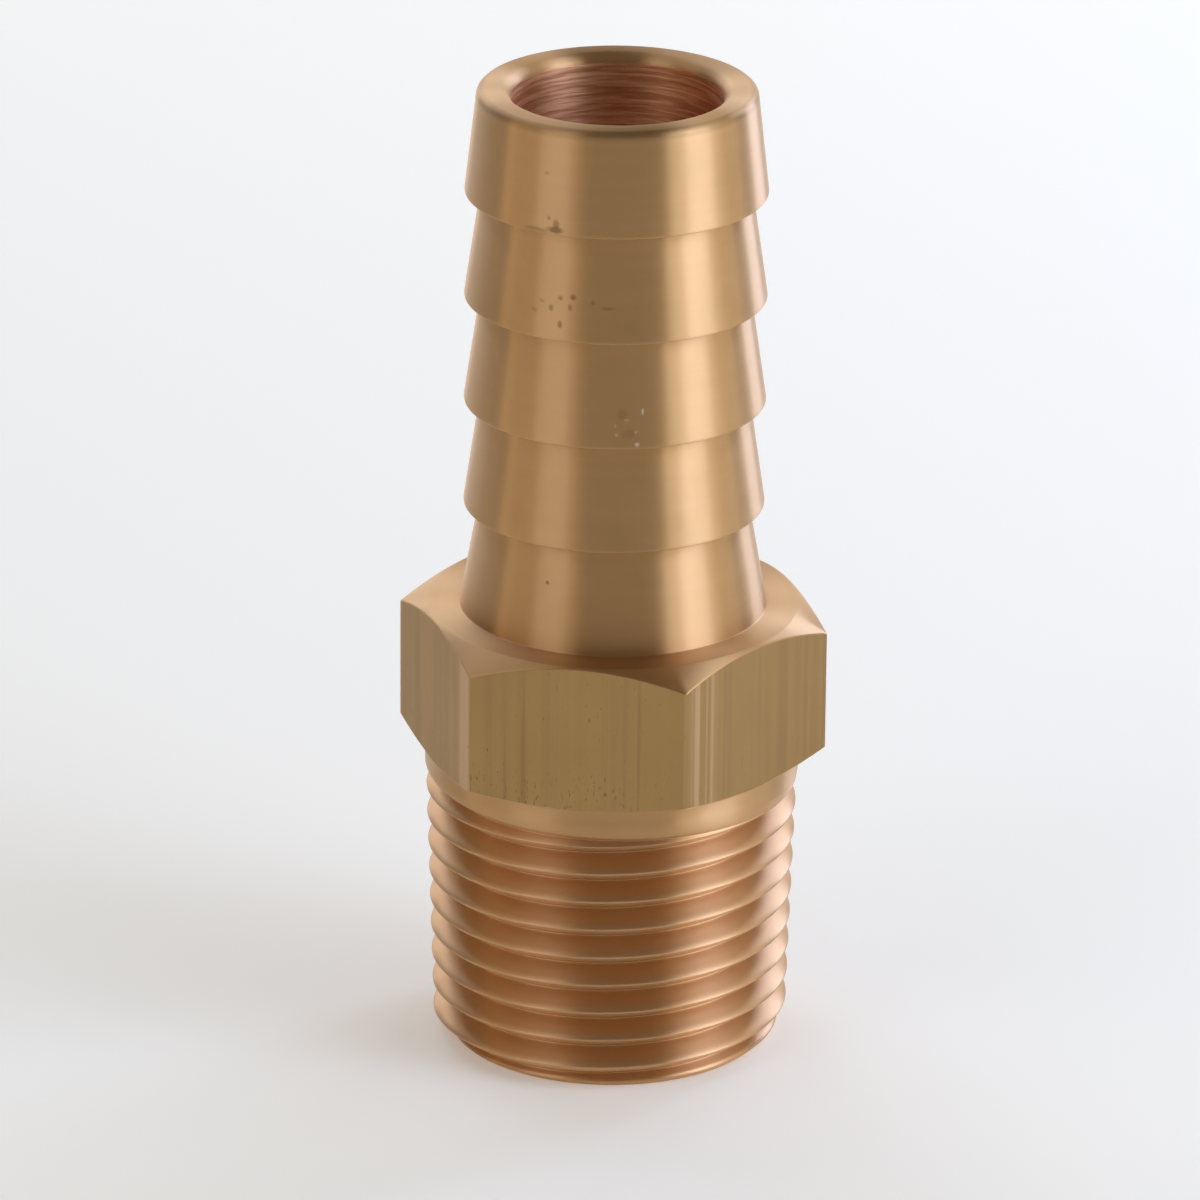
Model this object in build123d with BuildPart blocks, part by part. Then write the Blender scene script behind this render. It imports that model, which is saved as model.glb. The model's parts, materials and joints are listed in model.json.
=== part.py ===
"""Hose barb tail turned in one piece from hexagon bar, in millimetres.

A male taper thread screws into a pipe or valve, a hexagon takes the spanner,
and a tail with saw-tooth barbs goes into the end of a 1/2 in (13 mm) hose.

The origin is the centre of the threaded end face, and +Z runs up the bore
towards the mouth of the tail. The hexagon has corners on the X axis and two
of its flats face -Y and +Y.
"""

from math import atan, atan2, ceil, cos, degrees, hypot, radians, tan
import os

from build123d import *

# Male taper thread, 3/8-18 NPT: sixty degree form with sharp roots, 1 in 16 on the diameter
threads_per_inch = 18
thread_taper = 1 / 16
thread_flank_angle = 30.0
thread_end_diameter = 16.62  # over the crests, at the end face
thread_length = 13.0  # end face to the lower edge of the collar
thread_crest_flat = 0.12

# Where the threading tool stops its feed and backs out under the collar
runout_drop = 0.24  # from the collar's lower edge down to the groove's middle
runout_angle = 152.0  # from +X, where the feed stops
runout_turns = 0.53
runout_feed = 0.02  # what the tool still rises while it backs out
runout_step = 0.03  # how much shallower the tool cuts once its feed has stopped
runout_overlap = 3.0  # degrees of the full groove that the backing out covers
tool_clearance = 0.3  # how far the tool's shape reaches past the crests

# Chamfer that leads the thread into its socket
lead_inset = 0.91  # from the crests in to the edge of the end face
lead_height = 0.86

# Plain collar between the thread and the hexagon, as wide as the thread's last crest
collar_length = 1.3

# Hexagon, 11/16 in across flats, with its corners turned off at both ends
hex_across_flats = 17.46
hex_height = 7.05
hex_top_margin = 0.13  # from the flats in to the edge of the flat top ring
hex_top_angle = 30.0
hex_bottom_angle = 20.0

# Barbed tail: each tooth widens downwards to a sharp edge with a flat underside
barb_count = 4
barb_pitch = 5.04
barb_diameter = 13.9
barb_land = 0.12  # short cylinder that keeps the barb's edge from crumbling
neck_diameter = 12.45  # under each barb's edge
root_cone_height = 5.0
root_cone_diameter = 14.25  # where the lowest cone runs into the hexagon
tip_height = 4.88  # last barb's edge up to the rim
tip_diameter = 12.82
rim_radius = 0.3

# Through bore
bore_diameter = 9.75
bore_chamfer = 0.35

# Levels and radii that follow from the sizes above
thread_pitch = 25.4 / threads_per_inch
hex_bottom = thread_length + collar_length
hex_top = hex_bottom + hex_height
first_barb = hex_top + root_cone_height
last_barb = first_barb + (barb_count - 1) * barb_pitch
rim_level = last_barb + tip_height
hex_corner_radius = hex_across_flats / 2 / cos(radians(30))

# The thread's groove: its flanks run on a little past the crests
flank_slope = 1 / tan(radians(thread_flank_angle))
flank_overrun = thread_crest_flat / 4
thread_depth = (thread_pitch - thread_crest_flat) / 2 * flank_slope
groove_depth = thread_depth + flank_overrun * flank_slope
groove_half_width = groove_depth / flank_slope
groove_end = thread_length - runout_drop
groove_turns = ceil(groove_end / thread_pitch) + 1
groove_start = groove_end - groove_turns * thread_pitch
cone_angle = degrees(atan(thread_taper / 2))


def crest_radius(level):
    """Radius over the thread's crests at a height above the end face."""
    return (thread_end_diameter + thread_taper * level) / 2


def tool_section(root, level):
    """Shape of the threading tool with its tip at a radius and a height."""
    crest = root + groove_depth
    with BuildSketch(Plane.XZ) as section:
        with BuildLine():
            Polyline(
                (root, level),
                (crest, level + groove_half_width),
                (crest + tool_clearance, level + groove_half_width),
                (crest + tool_clearance, level - groove_half_width),
                (crest, level - groove_half_width),
                close=True,
            )
        make_face()
    return section.sketch


collar_radius = crest_radius(thread_length)

# Groove of the full thread, along one helix for each turn
with BuildPart() as thread_groove:
    with BuildLine() as groove_path:
        for turn in range(groove_turns):
            level = groove_start + turn * thread_pitch
            Helix(
                pitch=thread_pitch / cos(radians(cone_angle)),
                height=thread_pitch,
                radius=crest_radius(level) - thread_depth,
                center=(0, 0, level),
                cone_angle=cone_angle,
            )
    sweep(
        sections=tool_section(crest_radius(groove_start) - thread_depth, groove_start),
        path=groove_path.wire(),
        is_frenet=True,
    )

# Groove that fades out along a flat spiral as the tool backs away
with BuildPart() as runout_groove:
    runout_root = crest_radius(groove_end) - thread_depth + runout_step
    with BuildLine() as runout_path:
        Helix(
            pitch=hypot(groove_depth, runout_feed) / runout_turns,
            height=runout_feed,
            radius=runout_root,
            center=(0, 0, groove_end),
            cone_angle=degrees(atan2(groove_depth, runout_feed)),
        )
    sweep(
        sections=tool_section(runout_root, groove_end),
        path=runout_path.line,
        is_frenet=True,
    )

with BuildPart() as hose_tail:
    # Thread blank and collar, with the lead chamfer at the end face
    with BuildSketch(Plane.XZ.rotated((0, 0, runout_angle - 90))):
        with BuildLine():
            Polyline(
                (0, 0),
                (thread_end_diameter / 2 - lead_inset, 0),
                (crest_radius(lead_height), lead_height),
                (collar_radius, thread_length),
                (collar_radius, hex_bottom),
                (0, hex_bottom),
                close=True,
            )
        make_face()
    revolve(axis=Axis.Z)

    # Thread
    add(thread_groove.part, rotation=(0, 0, runout_angle), mode=Mode.SUBTRACT)
    add(
        runout_groove.part,
        rotation=(0, 0, runout_angle - runout_overlap),
        mode=Mode.SUBTRACT,
    )

    # Hexagon
    with BuildSketch(Plane.XY.offset(hex_bottom)):
        RegularPolygon(hex_across_flats / 2, 6, major_radius=False)
    extrude(amount=hex_height)

    # Corners turned off, from a flat ring above and from the collar below
    ring_radius = hex_across_flats / 2 - hex_top_margin
    top_drop = (hex_corner_radius - ring_radius) * tan(radians(hex_top_angle))
    bottom_rise = (hex_corner_radius - collar_radius) * tan(radians(hex_bottom_angle))
    with BuildSketch(Plane.XZ):
        with BuildLine():
            Polyline(
                (ring_radius, hex_top),
                (hex_corner_radius, hex_top - top_drop),
                (hex_corner_radius + top_drop, hex_top - top_drop),
                (hex_corner_radius + top_drop, hex_top),
                close=True,
            )
        make_face()
        with BuildLine():
            Polyline(
                (collar_radius, hex_bottom),
                (hex_corner_radius, hex_bottom + bottom_rise),
                (hex_corner_radius + bottom_rise, hex_bottom + bottom_rise),
                (hex_corner_radius + bottom_rise, hex_bottom),
                close=True,
            )
        make_face()
    revolve(axis=Axis.Z, mode=Mode.SUBTRACT)

    # Barbed tail, drawn as half its section from the hexagon up to the rim
    with BuildSketch(Plane.XZ):
        with BuildLine():
            outline = [(0, hex_top), (root_cone_diameter / 2, hex_top)]
            for barb in range(barb_count):
                edge = first_barb + barb * barb_pitch
                outline.append((neck_diameter / 2, edge))
                outline.append((barb_diameter / 2, edge))
                outline.append((barb_diameter / 2, edge + barb_land))
            outline.append((tip_diameter / 2, rim_level))
            outline.append((0, rim_level))
            Polyline(outline, close=True)
        make_face()
    revolve(axis=Axis.Z)
    rim_edge = hose_tail.edges().filter_by(GeomType.CIRCLE).sort_by(Axis.Z)[-1]
    fillet(rim_edge, rim_radius)

    # Through bore, its mouths broken at both ends
    with BuildSketch(Plane.XY):
        Circle(bore_diameter / 2)
    extrude(amount=rim_level, mode=Mode.SUBTRACT)
    bore_mouths = hose_tail.faces().filter_by(GeomType.PLANE).sort_by(Axis.Z)
    chamfer(bore_mouths[-1].inner_wires()[0].edges(), bore_chamfer)
    chamfer(bore_mouths[0].inner_wires()[0].edges(), bore_chamfer)

hose_tail.part.label = "hose_barb_tail"

os.makedirs("parts", exist_ok=True)
export_step(hose_tail.part, "parts/hose_barb_tail.step")
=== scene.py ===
import json
from math import atan2, cos, hypot, pi, radians, sin, sqrt, tan, tau

import bpy
from mathutils import Matrix, Vector


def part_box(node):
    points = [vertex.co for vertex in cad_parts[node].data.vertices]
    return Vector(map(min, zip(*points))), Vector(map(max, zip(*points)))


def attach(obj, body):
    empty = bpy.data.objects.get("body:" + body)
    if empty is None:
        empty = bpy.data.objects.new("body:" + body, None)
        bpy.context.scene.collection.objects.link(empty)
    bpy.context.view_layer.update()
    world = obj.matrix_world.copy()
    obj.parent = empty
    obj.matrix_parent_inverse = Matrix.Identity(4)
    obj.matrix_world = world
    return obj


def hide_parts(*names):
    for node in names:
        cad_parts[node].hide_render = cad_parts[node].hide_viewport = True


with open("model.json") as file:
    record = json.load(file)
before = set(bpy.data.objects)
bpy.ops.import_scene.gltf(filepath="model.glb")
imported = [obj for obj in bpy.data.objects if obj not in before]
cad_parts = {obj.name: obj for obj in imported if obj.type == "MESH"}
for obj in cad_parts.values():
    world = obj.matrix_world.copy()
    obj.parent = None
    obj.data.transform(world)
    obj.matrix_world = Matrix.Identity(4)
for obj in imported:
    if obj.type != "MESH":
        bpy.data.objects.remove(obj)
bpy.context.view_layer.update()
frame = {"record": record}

bl_info = {
    "name": "Hose barb tail",
    "version": (1, 0, 0),
    "blender": (4, 5, 0),
    "location": "View3D > Sidebar > Hose tail",
    "description": "Finishes the turned brass hose tail and sets its studio stage",
    "category": "Object",
}

MM = 0.001
TAIL_NODE = "hose_barb_tail"

# Sizes of the turned tail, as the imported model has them
END_CREST_RADIUS = 8.31 * MM
TAPER = 1 / 32
COLLAR_FOOT = 13.0 * MM
HEX_FOOT = 14.3 * MM
HEX_TOP = 21.35 * MM
FLAT_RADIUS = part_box(TAIL_NODE)[1].y
CORNER_RADIUS = FLAT_RADIUS / cos(radians(30))
RING_RADIUS = FLAT_RADIUS - 0.13 * MM
FOOT_SLOPE = tan(radians(20))
TOP_SLOPE = tan(radians(30))
FLAT_ANGLE = radians(60)
BARB_RADIUS = frame["record"]["mounts"][1]["dims"]["r_mm"] * MM
BARB_PITCH = 5.04 * MM
BARB_COUNT = 4
BARB_LAND = 0.12 * MM
FIRST_BARB = HEX_TOP + 5.0 * MM
NECK_RADIUS = 6.225 * MM
CONE_FOOT_RADIUS = 7.125 * MM
TIP_RADIUS = 6.41 * MM
RIM_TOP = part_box(TAIL_NODE)[1].z
RIM_ROUNDING = 0.3 * MM
BORE_RADIUS = frame["record"]["mounts"][0]["dims"]["r_mm"] * MM
BORE_CHAMFER = 0.35 * MM

# The thread's groove and how it ends under the collar
THREAD_PITCH = 25.4 * MM / 18
GROOVE_DEPTH = 1.118 * MM
GROOVE_SLOPE = tan(radians(60))
GROOVE_END = 12.76 * MM
RUNOUT_ANGLE = radians(152)
RUNOUT_TURNS = 0.53
WHOLE_TURNS = 10
LEAD_RADIUS = 7.4 * MM
LEAD_HEIGHT = 0.86 * MM
THREADED_TOP = 13.75 * MM
TOP_MARGIN = 0.17 * MM
COLLAR_RADIUS = END_CREST_RADIUS + TAPER * COLLAR_FOOT

# Blemishes on the barbs, as the camera sees them: across from the axis, level, half width
# and half height in millimetres, and strength
STAINS = (
    (-2.75, 41.71, 0.48, 0.2, 0.85),
    (-2.72, 42.0, 0.2, 0.26, 0.6),
    (-3.6, 41.60, 0.75, 0.13, 0.45),
    (-3.05, 42.22, 0.12, 0.13, 0.45),
    (-2.50, 38.40, 0.16, 0.16, 0.6),
    (-1.92, 38.49, 0.17, 0.17, 0.75),
    (-2.91, 37.89, 0.13, 0.2, 0.6),
    (-2.07, 38.01, 0.13, 0.2, 0.65),
    (-2.52, 37.23, 0.13, 0.22, 0.65),
    (-3.33, 38.16, 0.16, 0.12, 0.3),
    (-3.66, 37.68, 0.18, 0.14, 0.3),
    (-1.02, 38.34, 0.15, 0.14, 0.4),
    (-0.33, 38.10, 0.4, 0.1, 0.3),
    (0.33, 33.03, 0.35, 0.35, 0.25),
    (0.66, 32.13, 0.4, 0.3, 0.25),
    (-3.12, 44.25, 0.16, 0.12, 0.35),
    (-3.00, 24.45, 0.1, 0.12, 0.8),
)
NICKS = (
    (1.26, 33.12, 0.07, 0.2, 0.9),
    (1.02, 31.62, 0.14, 0.14, 0.7),
    (0.96, 32.19, 0.09, 0.1, 0.35),
    (0.09, 32.07, 0.09, 0.1, 0.35),
    (0.03, 32.49, 0.08, 0.12, 0.25),
    (0.54, 32.76, 0.18, 0.08, 0.25),
)

# Colours of the lamps, and the dim light all round them
COOL = (0.84, 1.0, 1.4)
ICY = (0.8, 1.02, 1.7)
WARM = (1.0, 0.8, 0.6)
ROOM_COLOUR = (1.0, 0.9, 0.8)
ROOM_LIGHT = 0.22

# The camera's lens, and how the photograph is framed
LENS_LENGTH = 282.0
SENSOR_WIDTH = 36.0
AIM_LEVEL = 21.32 * MM
AIM_LEFT = 0.6032 * MM
CAMERA_ROLL = radians(0.5)
FLOOR_RADIUS = 1.5

# How finely the mesh follows the shape: steps round the axis, and the share of a groove's half
# width at which each row of a flank lies
STEPS_ROUND = 300
FLANK_ROWS = (0.0, 0.04, 0.1, 0.2, 0.35, 0.52, 0.68, 0.8, 0.9, 1.0)

# Distances under which two places count as one
MERGED = 0.0002 * MM
NEAR = 0.01 * MM

# Turn of a metal's stretched highlights that lays them along the axis
ALONG_AXIS = 0.25


class Wired:
    """A node's output socket that Python's operators work on."""

    def __init__(self, finish, socket):
        self.finish = finish
        self.socket = socket

    def maths(self, operation, first, second):
        return self.finish.node(
            "ShaderNodeMath", {"operation": operation}, {0: first, 1: second}
        )

    def __add__(self, other):
        return self.maths("ADD", self, other)

    __radd__ = __add__

    def __sub__(self, other):
        return self.maths("SUBTRACT", self, other)

    def __rsub__(self, other):
        return self.maths("SUBTRACT", other, self)

    def __mul__(self, other):
        return self.maths("MULTIPLY", self, other)

    __rmul__ = __mul__


class Finish:
    """A procedural material, and the one way that its nodes are made."""

    def __init__(self, name):
        self.material = bpy.data.materials.new(name)
        self.material.use_nodes = True
        self.tree = self.material.node_tree
        self.tree.nodes.clear()

    def node(self, kind, settings=None, inputs=None, output=0):
        """Makes a node, sets it and wires its sockets, and returns one of its outputs."""
        made = self.tree.nodes.new(kind)
        for name, value in (settings or {}).items():
            setattr(made, name, value)
        for name, value in (inputs or {}).items():
            if isinstance(value, Wired):
                self.tree.links.new(value.socket, made.inputs[name])
            else:
                made.inputs[name].default_value = value
        return Wired(self, made.outputs[output]) if len(made.outputs) else None

    def between(self, value, low, high):
        """0 below low, 1 above high, and a smooth step between them."""
        return self.node(
            "ShaderNodeMapRange",
            {"interpolation_type": "SMOOTHSTEP"},
            {"Value": value, "From Min": low, "From Max": high, "To Min": 0.0, "To Max": 1.0},
        )

    def mix(self, share, first, second):
        """Colour that goes from first to second as share goes from 0 to 1."""
        return self.node(
            "ShaderNodeMix",
            {"data_type": "RGBA", "blend_type": "MIX"},
            {0: share, 6: first, 7: second},
            output=2,
        )

    def noise(self, vector, scale, detail=2.0, roughness=0.5, distortion=0.0):
        return self.node(
            "ShaderNodeTexNoise",
            {"noise_dimensions": "3D"},
            {
                "Vector": vector,
                "Scale": scale,
                "Detail": detail,
                "Roughness": roughness,
                "Distortion": distortion,
            },
        )


def rgba(colour):
    return (*colour, 1.0)


def object_axes(finish):
    """The piece's own coordinates, whole and one by one."""
    place = finish.node("ShaderNodeTexCoord", output=3)
    split = finish.node("ShaderNodeSeparateXYZ", inputs={0: place}).socket.node
    x, y, z = (Wired(finish, output) for output in split.outputs)
    return place, x, y, z


def combined(finish, x, y=0.0, z=0.0):
    return finish.node("ShaderNodeCombineXYZ", inputs={0: x, 1: y, 2: z})


def from_axis(finish, x, y):
    flat = combined(finish, x, y)
    return finish.node("ShaderNodeVectorMath", {"operation": "LENGTH"}, {0: flat}, output=1)


def blemish(finish, seen, mark, ragged):
    """A small patch with a ragged edge: its strength inside and 0 outside."""
    across, level, half_width, half_height, strength = mark
    step = finish.node("ShaderNodeVectorMath", {"operation": "SUBTRACT"}, {
        0: seen,
        1: (across * MM, 0.0, level * MM),
    })
    scaled = finish.node("ShaderNodeVectorMath", {"operation": "DIVIDE"}, {
        0: step,
        1: (half_width * MM, 1.0, half_height * MM),
    })
    away = finish.node("ShaderNodeVectorMath", {"operation": "LENGTH"}, {0: scaled}, output=1)
    return (1 - finish.between(away + ragged, 0.8, 1.6)) * strength


def close_metal(finish, colour, roughness, marks, depth, anisotropic, rotation):
    """Ends a metal's nodes in its shader."""
    bump = finish.node("ShaderNodeBump", inputs={
        "Strength": 1.0,
        "Distance": depth,
        "Height": marks,
    })
    shader = finish.node("ShaderNodeBsdfPrincipled", inputs={
        "Base Color": colour,
        "Metallic": 1.0,
        "Roughness": roughness,
        "Anisotropic": anisotropic,
        "Anisotropic Rotation": rotation,
        "Normal": bump,
    })
    finish.node("ShaderNodeOutputMaterial", inputs={"Surface": shader})
    return finish.material


def turned_finish(look, turn):
    """Satin turned brass: the tool's feed marks run round the axis and draw highlights out along it."""
    finish = Finish("turned_brass")
    place, x, y, z = object_axes(finish)
    radius = from_axis(finish, x, y)
    feed = combined(finish, z + radius, x * 0.03, y * 0.03)
    fine_marks = finish.noise(feed, 16000.0, detail=3.0)
    broad_marks = finish.noise(feed, 1700.0, detail=3.0)
    cloud = finish.noise(place, 260.0, detail=5.0, roughness=0.6)
    grain = finish.noise(place, 2600.0, detail=3.0)
    colour = finish.mix(broad_marks, rgba(look.turned_dark), rgba(look.turned_light))
    colour = finish.mix(finish.between(cloud, 0.52, 0.75) * 0.5, colour, rgba(look.tarnish))
    # Painted shade: a dark band round the rim's outer rounding, mixed toward the stain colour, stands in for
    # the dark reflection that falls there
    near_rim = finish.between(z, RIM_TOP - 0.5 * MM, RIM_TOP - 0.25 * MM)
    outside = finish.between(radius, TIP_RADIUS - 0.36 * MM, TIP_RADIUS - 0.21 * MM)
    colour = finish.mix(near_rim * outside * 0.28, colour, rgba(look.stain_and_rim_shade))
    across = x * cos(turn) + y * sin(turn)
    behind = finish.between(y * cos(turn) - x * sin(turn), -0.5 * MM, 0.0)
    seen = combined(finish, across, z=z)
    ragged = grain + behind * 5.0
    for marks, shade in ((STAINS, look.stain_and_rim_shade), (NICKS, look.nick)):
        for mark in marks:
            colour = finish.mix(blemish(finish, seen, mark, ragged), colour, rgba(shade))
    roughness = look.turned_roughness + 0.06 * broad_marks + 0.05 * cloud
    return close_metal(finish, colour, roughness, fine_marks, 0.0006 * MM, 1.0, ALONG_AXIS)


def side_flat(finish, x, y, skin):
    """Where the flat to the right of the front one lies, and how far along it a place is."""
    outward = x * cos(radians(30)) - y * 0.5
    along = x * 0.5 + y * cos(radians(30)) + CORNER_RADIUS / 2
    return finish.between(outward, FLAT_RADIUS - skin, FLAT_RADIUS), along


def drawn_finish(look):
    """The bar's drawn skin on the hexagon's flats: lines along the bar, and pits low on the front."""
    finish = Finish("drawn_brass")
    place, x, y, z = object_axes(finish)
    along = combined(finish, x, y, z * 0.012)
    fine_lines = finish.noise(along, 6500.0, detail=3.0)
    broad_lines = finish.noise(along, 1100.0, detail=4.0, roughness=0.6)
    hair_lines = finish.noise(along, 3600.0, detail=1.0)
    cloud = finish.noise(place, 220.0, detail=5.0, roughness=0.6)
    pitting = finish.noise(combined(finish, x, y, z * 0.35), 8000.0, detail=2.0)
    skin = 0.1 * MM
    low = 1 - finish.between(z, HEX_FOOT + 0.8 * MM, HEX_FOOT + 3.6 * MM)
    on_front_flat = finish.between(y * -1, FLAT_RADIUS - skin, FLAT_RADIUS)
    pits = finish.between(pitting + low * 0.09, 0.67, 0.77) * finish.between(cloud, 0.36, 0.56)
    pits = pits * (0.3 + 0.7 * on_front_flat)
    colour = finish.mix(cloud, rgba(look.drawn_dark), rgba(look.drawn_light))
    colour = finish.mix(finish.between(broad_lines, 0.45, 0.7) * 0.35, colour, rgba(look.die_line))
    colour = finish.mix(finish.between(hair_lines, 0.66, 0.72) * 0.35, colour, rgba(look.die_line))
    on_right_flat, from_right_corner = side_flat(finish, x, y, skin)
    bands = finish.noise(combined(finish, from_right_corner), 1900.0, detail=3.0)
    shine = finish.between(bands, 0.45, 0.62)
    beside_corner = 1 - finish.between(from_right_corner, 1.6 * MM, 3.4 * MM)
    colour = finish.mix(shine * beside_corner * on_right_flat * 0.6, colour, rgba(look.die_shine))
    on_left_flat, from_left_corner = side_flat(finish, x * -1, y, skin)
    # A lighter band in the die-shine colour along the left flat, next to its corner with the front flat
    left_corner_band = 1 - finish.between(from_left_corner, 1.1 * MM, 1.6 * MM)
    colour = finish.mix(left_corner_band * on_left_flat * 0.45, colour, rgba(look.die_shine))
    colour = finish.mix(pits * 0.7, colour, rgba(look.stain_and_rim_shade))
    roughness = look.drawn_roughness + 0.1 * fine_lines + 0.1 * pits
    marks = fine_lines + broad_lines - pits * 1.5
    return close_metal(finish, colour, roughness, marks, 0.0008 * MM, 0.6, 0.0)


def thread_finish(look):
    """Redder and cleaner brass where the threading tool cut last."""
    finish = Finish("threaded_brass")
    place, x, y, z = object_axes(finish)
    feed = combined(finish, z + from_axis(finish, x, y), x * 0.05, y * 0.05)
    fine_marks = finish.noise(feed, 12000.0, detail=3.0)
    cloud = finish.noise(place, 420.0, detail=4.0)
    colour = finish.mix(cloud, rgba(look.thread_dark), rgba(look.thread_light))
    roughness = look.thread_roughness + 0.08 * cloud
    return close_metal(finish, colour, roughness, fine_marks, 0.0006 * MM, 0.9, ALONG_AXIS)


def bore_finish(look):
    """Drilled brass, dark and ringed by the drill's marks."""
    finish = Finish("bored_brass")
    _, x, y, z = object_axes(finish)
    feed = combined(finish, z, x * 0.06, y * 0.06)
    rings = finish.noise(feed, 4600.0, detail=3.0, roughness=0.6)
    ridges = finish.between(rings, 0.38, 0.62)
    colour = finish.mix(ridges, rgba(look.bore_dark), rgba(look.bore_light))
    roughness = look.bore_roughness + 0.08 * rings
    return close_metal(finish, colour, roughness, rings, 0.04 * MM, 0.8, ALONG_AXIS)


def floor_finish(stage):
    """Matt paper that looks a little paler to the camera and in the brass than its light makes it."""
    finish = Finish("pale_floor")
    path = finish.node("ShaderNodeLightPath").socket.node
    seen = Wired(finish, path.outputs["Is Camera Ray"])
    mirrored = Wired(finish, path.outputs["Is Glossy Ray"])
    through = Wired(finish, path.outputs["Is Transmission Ray"])
    shader = finish.node("ShaderNodeBsdfPrincipled", inputs={
        "Base Color": rgba(stage.floor_colour),
        "Roughness": 0.9,
        "Emission Color": finish.mix(seen + mirrored + through, (0, 0, 0, 1), (1, 1, 1, 1)),
        "Emission Strength": stage.floor_glow,
    })
    finish.node("ShaderNodeOutputMaterial", inputs={"Surface": shader})
    return finish.material


def colour_setting(name, description, colour):
    return bpy.props.FloatVectorProperty(
        name=name, description=description, subtype="COLOR", size=3, min=0.0, max=1.0, default=colour
    )


class BrassLook(bpy.types.PropertyGroup):
    turned_light: colour_setting("Turned, light", "Brass where the tool left it bright", (0.63, 0.38, 0.175))
    turned_dark: colour_setting("Turned, dark", "Brass in the tool's deeper marks", (0.55, 0.325, 0.145))
    tarnish: colour_setting("Tarnish", "Thin cloudy patches on the turned faces", (0.53, 0.33, 0.14))
    # Real smudges and pits, and also painted shade round the rim's outer edge
    stain_and_rim_shade: colour_setting("Stain", "Smudges and pits", (0.22, 0.13, 0.045))
    nick: colour_setting("Nick", "Bare metal in small nicks", (0.95, 0.82, 0.66))
    drawn_light: colour_setting("Drawn, light", "The bar's own skin on the flats", (0.43, 0.272, 0.112))
    drawn_dark: colour_setting("Drawn, dark", "The skin where it is tarnished", (0.36, 0.218, 0.085))
    die_shine: colour_setting("Die shine", "Bright lines that the die left", (0.66, 0.44, 0.25))
    die_line: colour_setting("Die line", "Lines that the die left along the bar", (0.25, 0.15, 0.065))
    thread_light: colour_setting("Thread, light", "Brass on the thread's flanks", (0.66, 0.40, 0.20))
    thread_dark: colour_setting("Thread, dark", "Brass low in the thread's grooves", (0.58, 0.33, 0.15))
    bore_light: colour_setting("Bore, light", "Brass on the bore's ridges", (0.88, 0.50, 0.28))
    bore_dark: colour_setting("Bore, dark", "Brass in the drill's marks", (0.60, 0.28, 0.13))
    turned_roughness: bpy.props.FloatProperty(
        name="Turned roughness",
        description="How dull the turned faces are",
        default=0.32,
        min=0.0,
        max=1.0,
        subtype="FACTOR",
    )
    drawn_roughness: bpy.props.FloatProperty(
        name="Drawn roughness",
        description="How dull the hexagon's flats are",
        default=0.4,
        min=0.0,
        max=1.0,
        subtype="FACTOR",
    )
    bore_roughness: bpy.props.FloatProperty(
        name="Bore roughness",
        description="How dull the bore is",
        default=0.42,
        min=0.0,
        max=1.0,
        subtype="FACTOR",
    )
    thread_roughness: bpy.props.FloatProperty(
        name="Thread roughness",
        description="How dull the thread is",
        default=0.34,
        min=0.0,
        max=1.0,
        subtype="FACTOR",
    )
    edge_radius: bpy.props.FloatProperty(
        name="Edge radius",
        description="How far the sharp edges are rounded off",
        default=0.05 * MM,
        min=0.0,
        unit="LENGTH",
    )
    mouth_rounding: bpy.props.FloatProperty(
        name="Mouth rounding",
        description="How far the corners at the bore's mouths are rounded off",
        default=0.16 * MM,
        min=0.0,
        unit="LENGTH",
    )
    crest_rounding: bpy.props.FloatProperty(
        name="Crest rounding",
        description="How softly the thread's flanks turn into its crests",
        default=0.35 * MM,
        min=0.001 * MM,
        unit="LENGTH",
    )
    root_rounding: bpy.props.FloatProperty(
        name="Root rounding",
        description="How softly the thread's flanks meet in its roots",
        default=0.04 * MM,
        min=0.0,
        unit="LENGTH",
    )


class StudioStage(bpy.types.PropertyGroup):
    floor_colour: colour_setting("Floor", "Paper that the tail stands on", (0.95, 0.92, 0.79))
    floor_glow: bpy.props.FloatProperty(
        name="Floor glow",
        description="How much paler the floor looks than the lamps make it",
        default=0.17,
        min=0.0,
    )
    camera_turn: bpy.props.FloatProperty(
        name="Camera turn",
        description="How far the camera stands round from the front",
        default=radians(10.5),
        subtype="ANGLE",
    )
    camera_rise: bpy.props.FloatProperty(
        name="Camera rise",
        description="How far the camera looks down",
        default=radians(21.6),
        subtype="ANGLE",
    )
    camera_distance: bpy.props.FloatProperty(
        name="Camera distance",
        description="From the camera to the point that it looks at",
        default=436.2 * MM,
        unit="LENGTH",
    )


def turned_outline():
    """Radius and height of the turned shape's corners, from the thread up and back through the bore."""
    foot_rise = (CORNER_RADIUS - COLLAR_RADIUS) * FOOT_SLOPE
    top_drop = (CORNER_RADIUS - RING_RADIUS) * TOP_SLOPE
    corners = [
        (COLLAR_RADIUS, THREADED_TOP),
        (COLLAR_RADIUS, HEX_FOOT),
        (CORNER_RADIUS, HEX_FOOT + foot_rise),
        (CORNER_RADIUS, HEX_TOP - top_drop),
        (RING_RADIUS, HEX_TOP),
        (CONE_FOOT_RADIUS, HEX_TOP),
    ]
    for barb in range(BARB_COUNT):
        edge = FIRST_BARB + barb * BARB_PITCH
        corners.append((NECK_RADIUS, edge))
        corners.append((BARB_RADIUS, edge))
        corners.append((BARB_RADIUS, edge + BARB_LAND))
    corners.append((TIP_RADIUS, RIM_TOP))
    corners.append((BORE_RADIUS + BORE_CHAMFER, RIM_TOP))
    corners.append((BORE_RADIUS, RIM_TOP - BORE_CHAMFER))
    corners.append((BORE_RADIUS, BORE_CHAMFER))
    corners.append((BORE_RADIUS + BORE_CHAMFER, 0.0))
    corners.append((LEAD_RADIUS, 0.0))
    return corners


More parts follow.
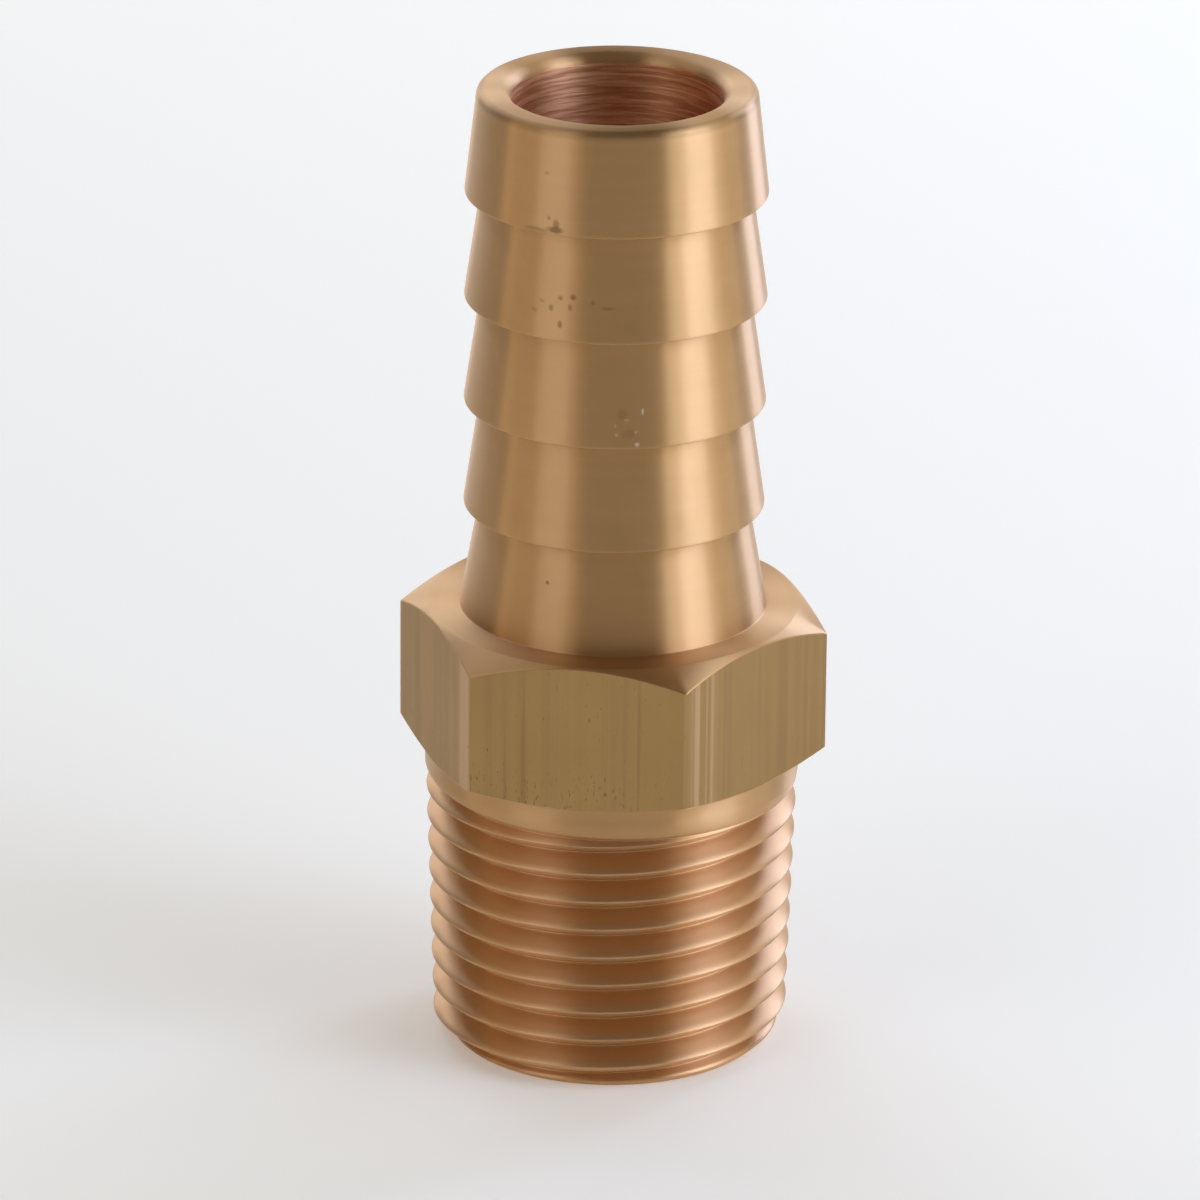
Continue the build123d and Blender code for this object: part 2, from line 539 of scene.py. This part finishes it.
def draw_wire(corners):
    """Draws a wire by extruding one vertex from corner to corner, and leaves it in edit mode."""
    bpy.ops.object.select_all(action="DESELECT")
    bpy.ops.mesh.primitive_plane_add(size=MM)
    wire = bpy.context.active_object
    bpy.ops.object.mode_set(mode="EDIT")
    bpy.ops.mesh.select_all(action="SELECT")
    bpy.ops.mesh.merge(type="CENTER")
    pen = (0.0, 0.0)
    for number, corner in enumerate(corners):
        step = (corner[0] - pen[0], 0.0, corner[1] - pen[1])
        if number == 0:
            bpy.ops.transform.translate(value=step)
        else:
            bpy.ops.mesh.extrude_region_move(TRANSFORM_OT_translate={"value": step})
        pen = corner
    return wire


def round_corners(wire, width, wanted):
    """Rounds the wire's corners for which wanted says yes. The wire is in edit mode."""
    bpy.ops.mesh.select_all(action="DESELECT")
    bpy.ops.object.mode_set(mode="OBJECT")
    for vertex in wire.data.vertices:
        vertex.select = wanted(vertex.co)
    bpy.ops.object.mode_set(mode="EDIT")
    bpy.ops.mesh.bevel(offset=width, affect="VERTICES", segments=3, clamp_overlap=True)


def cut_flats(mesh, edge_radius):
    """Pulls the spun hexagon's corner circle in to its six flats, along the chamfers above and below."""
    foot_corner = HEX_FOOT + (CORNER_RADIUS - COLLAR_RADIUS) * FOOT_SLOPE
    top_corner = HEX_TOP - (CORNER_RADIUS - RING_RADIUS) * TOP_SLOPE
    for vertex in mesh.vertices:
        radius = hypot(vertex.co.x, vertex.co.y)
        level = vertex.co.z
        if radius < COLLAR_RADIUS + NEAR / 10 or not HEX_FOOT < level < HEX_TOP:
            continue
        azimuth = atan2(vertex.co.y, vertex.co.x)
        from_middle = (azimuth + tau) % FLAT_ANGLE - FLAT_ANGLE / 2
        flat = FLAT_RADIUS / cos(from_middle)
        if radius < CORNER_RADIUS - 2 * edge_radius:
            spun, room = (COLLAR_RADIUS, HEX_FOOT), flat - COLLAR_RADIUS
            target = spun
        elif level < (foot_corner + top_corner) / 2:
            spun, room = (CORNER_RADIUS, foot_corner), flat - COLLAR_RADIUS
            target = (flat, foot_corner - (CORNER_RADIUS - flat) * FOOT_SLOPE)
        else:
            spun, room = (CORNER_RADIUS, top_corner), flat - RING_RADIUS
            target = (flat, top_corner + (CORNER_RADIUS - flat) * TOP_SLOPE)
        share = min(1.0, 0.4 * room / edge_radius)
        moved = target[0] + (radius - spun[0]) * share
        risen = target[1] + (level - spun[1]) * share
        vertex.co = (moved * cos(azimuth), moved * sin(azimuth), risen)


def grooves_at(turned):
    """Middle, depth and half width of each turn's groove, at a share of a turn past the run-out."""
    grooves = []
    for turn in range(WHOLE_TURNS):
        middle = GROOVE_END - THREAD_PITCH * (WHOLE_TURNS - turn - turned)
        grooves.append((middle, GROOVE_DEPTH, GROOVE_DEPTH / GROOVE_SLOPE))
    fading = max(0.0, 1.0 - turned / RUNOUT_TURNS)
    lifted = max(0.0, turned - RUNOUT_TURNS) / (1.0 - RUNOUT_TURNS)
    rest = THREADED_TOP - TOP_MARGIN
    depth = GROOVE_DEPTH * fading
    grooves.append((GROOVE_END + (rest - GROOVE_END) * lifted, depth, depth / GROOVE_SLOPE))
    grooves.append((rest + (THREADED_TOP - rest) * turned, 0.0, 0.0))
    return grooves


def softer(first, second, softness):
    """The larger of two numbers, with the crease between them rounded over a small range."""
    shared = max(softness - abs(first - second), 0.0)
    return max(first, second) + shared**2 / (4 * softness)


def threaded_radius(height, grooves, look):
    """Radius of the thread at a height, from its crests, its grooves and its lead chamfer."""
    crest = END_CREST_RADIUS + TAPER * min(height, COLLAR_FOOT)
    deepest = -GROOVE_DEPTH
    for middle, depth, _ in grooves:
        if depth > 0.0:
            away = sqrt((height - middle) ** 2 + look.root_rounding**2)
            deepest = max(deepest, depth - away * GROOVE_SLOPE)
    lead = LEAD_RADIUS + (crest - LEAD_RADIUS) * height / LEAD_HEIGHT
    return min(crest - softer(deepest, 0.0, look.crest_rounding), lead)


def thread_column(turned, look):
    """Heights and radii up the thread, at a share of a turn past the run-out's start."""
    grooves = grooves_at(turned)
    seams = []
    for lower, upper in zip(grooves, grooves[1:]):
        seams.append((lower[0] + lower[2] + upper[0] - upper[2]) / 2)
    seams = [grooves[0][0] - THREAD_PITCH / 2, *seams]
    heights = []
    for (middle, _, half), below in zip(grooves, seams):
        heights.append(below)
        heights += [middle - half * share for share in reversed(FLANK_ROWS[1:])]
        heights += [middle + half * share for share in FLANK_ROWS]
    heights = [min(max(height, 0.0), THREADED_TOP) for height in [*heights, THREADED_TOP]]
    return [(threaded_radius(height, grooves, look), height) for height in heights]


def past_runout(azimuth):
    """Share of a turn from the run-out's start round to an azimuth."""
    return ((azimuth - RUNOUT_ANGLE) / tau) % 1.0


def roll_thread(look):
    """The thread as a sheet whose rows climb with the groove, as no spin gives it where it runs out."""
    azimuths = [tau * step / STEPS_ROUND for step in range(STEPS_ROUND)]
    columns = sorted((past_runout(azimuth), azimuth) for azimuth in azimuths)
    rows_a_turn = 2 * len(FLANK_ROWS)
    places = []
    for turned, azimuth in columns:
        for radius, height in thread_column(turned, look):
            places.append((radius * cos(azimuth), radius * sin(azimuth), height))
    rows = len(places) // STEPS_ROUND
    faces = []
    for column in range(STEPS_ROUND):
        climb = rows_a_turn if column == STEPS_ROUND - 1 else 0
        after = (column + 1) % STEPS_ROUND
        for row in range(rows - 1):
            here = column * rows + row
            low = after * rows + min(row + climb, rows - 1)
            high = after * rows + min(row + 1 + climb, rows - 1)
            faces.append((here, low, high, here + 1))
    mesh = bpy.data.meshes.new("thread")
    mesh.from_pydata(places, [], faces)
    thread = bpy.data.objects.new("thread", mesh)
    bpy.context.scene.collection.objects.link(thread)
    return thread


class HOSETAIL_OT_finish_tail(bpy.types.Operator):
    """Turns the tail from its outline, with its thread and its hexagon, and gives it its brass"""

    bl_idname = "hosetail.finish_tail"
    bl_label = "Turn the hose tail"

    def execute(self, context):
        look = context.scene.brass_look
        tail = self.spin_body(look)
        cut_flats(tail.data, look.edge_radius)
        self.meet_groove(tail.data, look)
        thread = roll_thread(look)
        bpy.ops.object.select_all(action="DESELECT")
        thread.select_set(True)
        tail.select_set(True)
        context.view_layer.objects.active = tail
        bpy.ops.object.join()
        bpy.ops.object.mode_set(mode="EDIT")
        bpy.ops.mesh.select_all(action="SELECT")
        bpy.ops.mesh.remove_doubles(threshold=MERGED)
        bpy.ops.mesh.dissolve_degenerate(threshold=MERGED)
        bpy.ops.mesh.normals_make_consistent(inside=False)
        bpy.ops.object.mode_set(mode="OBJECT")
        bpy.ops.object.shade_smooth()
        weights = tail.modifiers.new("weighted normals", "WEIGHTED_NORMAL")
        weights.weight = 100
        bpy.ops.object.modifier_apply(modifier=weights.name)
        self.dress(tail.data, look, context.scene.studio_stage.camera_turn)
        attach(tail, "root")
        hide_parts(TAIL_NODE)
        return {"FINISHED"}

    def spin_body(self, look):
        tail = draw_wire(turned_outline())
        tail.name = "turned_tail"
        mouth_edge = BORE_RADIUS + BORE_CHAMFER
        ends = ((COLLAR_RADIUS, THREADED_TOP), (LEAD_RADIUS, 0.0))

        def is_rim(place):
            return abs(place.x - TIP_RADIUS) < NEAR and place.z > RIM_TOP - MM

        def is_mouth(place):
            return place.x < mouth_edge + NEAR

        def is_other_corner(place):
            away = min(hypot(place.x - radius, place.z - height) for radius, height in ends)
            on_rounded_rim = place.z > RIM_TOP - 1.1 * RIM_ROUNDING
            on_rounded_mouth = place.x < mouth_edge + BORE_CHAMFER
            return away > NEAR and not on_rounded_rim and not on_rounded_mouth

        round_corners(tail, RIM_ROUNDING, is_rim)
        round_corners(tail, look.mouth_rounding, is_mouth)
        round_corners(tail, look.edge_radius, is_other_corner)
        bpy.ops.mesh.select_all(action="SELECT")
        bpy.ops.mesh.spin(steps=STEPS_ROUND, angle=tau, center=(0, 0, 0), axis=(0, 0, 1))
        bpy.ops.mesh.select_all(action="SELECT")
        bpy.ops.mesh.remove_doubles(threshold=MERGED)
        bpy.ops.object.mode_set(mode="OBJECT")
        return tail

    def dress(self, mesh, look, turn):
        """Gives each face its finish: bored, threaded, drawn, or turned."""
        mesh.materials.clear()
        finishes = (
            turned_finish(look, turn),
            drawn_finish(look),
            thread_finish(look),
            bore_finish(look),
        )
        for finish in finishes:
            mesh.materials.append(finish)
        turned, drawn, threaded, bored = range(len(finishes))
        for face in mesh.polygons:
            radius = hypot(face.center.x, face.center.y)
            level = face.center.z
            upright = abs(face.normal.z) < 0.1
            on_end_face = face.normal.z < -0.999
            if radius < BORE_RADIUS + NEAR:
                face.material_index = bored
            elif level < COLLAR_FOOT and radius > LEAD_RADIUS - GROOVE_DEPTH and not on_end_face:
                face.material_index = threaded
            elif HEX_FOOT < level < HEX_TOP and radius > COLLAR_RADIUS and upright:
                face.material_index = drawn
            else:
                face.material_index = turned

    def meet_groove(self, mesh, look):
        """Pulls the end face's outer circle in where the groove runs out through it."""
        for vertex in mesh.vertices:
            if vertex.co.z < NEAR and hypot(vertex.co.x, vertex.co.y) > LEAD_RADIUS - NEAR:
                azimuth = atan2(vertex.co.y, vertex.co.x)
                radius = threaded_radius(0.0, grooves_at(past_runout(azimuth)), look)
                vertex.co.x = radius * cos(azimuth)
                vertex.co.y = radius * sin(azimuth)


def area_lamp(name, place, target, width, height, brightness, colour=(1.0, 1.0, 1.0)):
    """A soft box that looks as bright as brightness, where 1 is white."""
    lamp = bpy.data.lights.new(name, "AREA")
    lamp.shape = "RECTANGLE"
    lamp.size = width
    lamp.size_y = height
    lamp.energy = brightness * pi * width * height
    lamp.color = colour
    holder = bpy.data.objects.new(name, lamp)
    bpy.context.scene.collection.objects.link(holder)
    holder.location = place
    holder.rotation_euler = (Vector(target) - Vector(place)).to_track_quat("-Z", "Y").to_euler()
    holder.visible_camera = False


def round_the_tail(azimuth, distance, height):
    """A place at a compass angle, where 0 is the photograph's side and 90 is on its right."""
    return Vector((sin(azimuth) * distance, -cos(azimuth) * distance, height))


def panel(name, azimuth, distance, width, height, brightness, colour=(1.0, 1.0, 1.0)):
    """An upright soft box that stands on the floor and faces the tail."""
    place = round_the_tail(azimuth, distance, height / 2)
    area_lamp(name, place, (0, 0, height / 2), width, height, brightness, colour)


class HOSETAIL_OT_set_stage(bpy.types.Operator):
    """Lays the pale floor, hangs the lamps and stands the camera"""

    bl_idname = "hosetail.set_stage"
    bl_label = "Set the studio stage"

    def execute(self, context):
        stage = context.scene.studio_stage
        self.lay_floor(stage)
        self.hang_lamps(stage)
        self.light_world(context)
        self.stand_camera(context, stage)
        return {"FINISHED"}

    def lay_floor(self, stage):
        bpy.ops.object.select_all(action="DESELECT")
        bpy.ops.mesh.primitive_circle_add(vertices=96, radius=FLOOR_RADIUS, fill_type="NGON")
        floor = bpy.context.active_object
        floor.name = "floor"
        floor.data.materials.append(floor_finish(stage))

    def hang_lamps(self, stage):
        turn = stage.camera_turn
        panel("wide key", turn + radians(75), 0.26, 0.36, 0.33, 0.78)
        panel("key", turn + radians(64), 0.25, 0.22, 0.33, 0.65, COOL)
        panel("bright key", turn + radians(67), 0.24, 0.10, 0.33, 1.6, ICY)
        panel("edge", turn + radians(134), 0.25, 0.08, 0.24, 2.5, ICY)
        panel("fill", turn - radians(62), 0.25, 0.34, 0.42, 0.34, WARM)
        panel("window", turn - radians(49), 0.24, 0.11, 0.42, 0.57, COOL)
        panel("slit", turn - radians(90), 0.23, 0.025, 0.30, 0.4, WARM)
        panel("back", turn + radians(184), 0.32, 0.34, 0.24, 0.9)
        high_right = round_the_tail(turn + radians(145), 0.30, 0.32)
        area_lamp("high right", high_right, (0, 0, 0), 0.22, 0.20, 0.6)
        glint = round_the_tail(turn + radians(152), 0.30, 0.14)
        area_lamp("glint", glint, (0, 0, 0), 0.07, 0.10, 2.5, COOL)
        high_left = round_the_tail(turn - radians(149), 0.30, 0.27)
        area_lamp("high left", high_left, (0, 0, 0), 0.22, 0.34, 1.0, COOL)

    def light_world(self, context):
        world = bpy.data.worlds.new("studio")
        context.scene.world = world
        world.use_nodes = True
        background = world.node_tree.nodes["Background"]
        background.inputs["Color"].default_value = rgba(ROOM_COLOUR)
        background.inputs["Strength"].default_value = ROOM_LIGHT

    def stand_camera(self, context, stage):
        lens = bpy.data.cameras.new("camera")
        lens.sensor_width = SENSOR_WIDTH
        lens.lens = LENS_LENGTH
        lens.clip_start = 0.01
        lens.clip_end = 10.0
        camera = bpy.data.objects.new("camera", lens)
        context.scene.collection.objects.link(camera)
        back = Vector((
            sin(stage.camera_turn) * cos(stage.camera_rise),
            -cos(stage.camera_turn) * cos(stage.camera_rise),
            sin(stage.camera_rise),
        ))
        aim = Vector((0, 0, AIM_LEVEL))
        right = Vector((cos(stage.camera_turn), sin(stage.camera_turn), 0))
        camera.location = aim + back * stage.camera_distance
        ahead = aim - right * AIM_LEFT - camera.location
        turn = ahead.to_track_quat("-Z", "Y").to_matrix()
        camera.rotation_euler = (turn @ Matrix.Rotation(CAMERA_ROLL, 3, "Z")).to_euler()
        context.scene.camera = camera
        context.scene.view_settings.view_transform = "Standard"


class HOSETAIL_PT_panel(bpy.types.Panel):
    bl_idname = "HOSETAIL_PT_panel"
    bl_label = "Hose tail"
    bl_space_type = "VIEW_3D"
    bl_region_type = "UI"
    bl_category = "Hose tail"

    def draw(self, context):
        layout = self.layout
        for operator in OPERATORS:
            layout.operator(operator.bl_idname)


OPERATORS = (HOSETAIL_OT_finish_tail, HOSETAIL_OT_set_stage)
CLASSES = (BrassLook, StudioStage, *OPERATORS, HOSETAIL_PT_panel)


def register():
    for item in CLASSES:
        bpy.utils.register_class(item)
    bpy.types.Scene.brass_look = bpy.props.PointerProperty(type=BrassLook)
    bpy.types.Scene.studio_stage = bpy.props.PointerProperty(type=StudioStage)


def unregister():
    del bpy.types.Scene.studio_stage
    del bpy.types.Scene.brass_look
    for item in reversed(CLASSES):
        bpy.utils.unregister_class(item)


def main():
    register()
    bpy.ops.hosetail.finish_tail()
    bpy.ops.hosetail.set_stage()


if __name__ == "__main__":
    main()
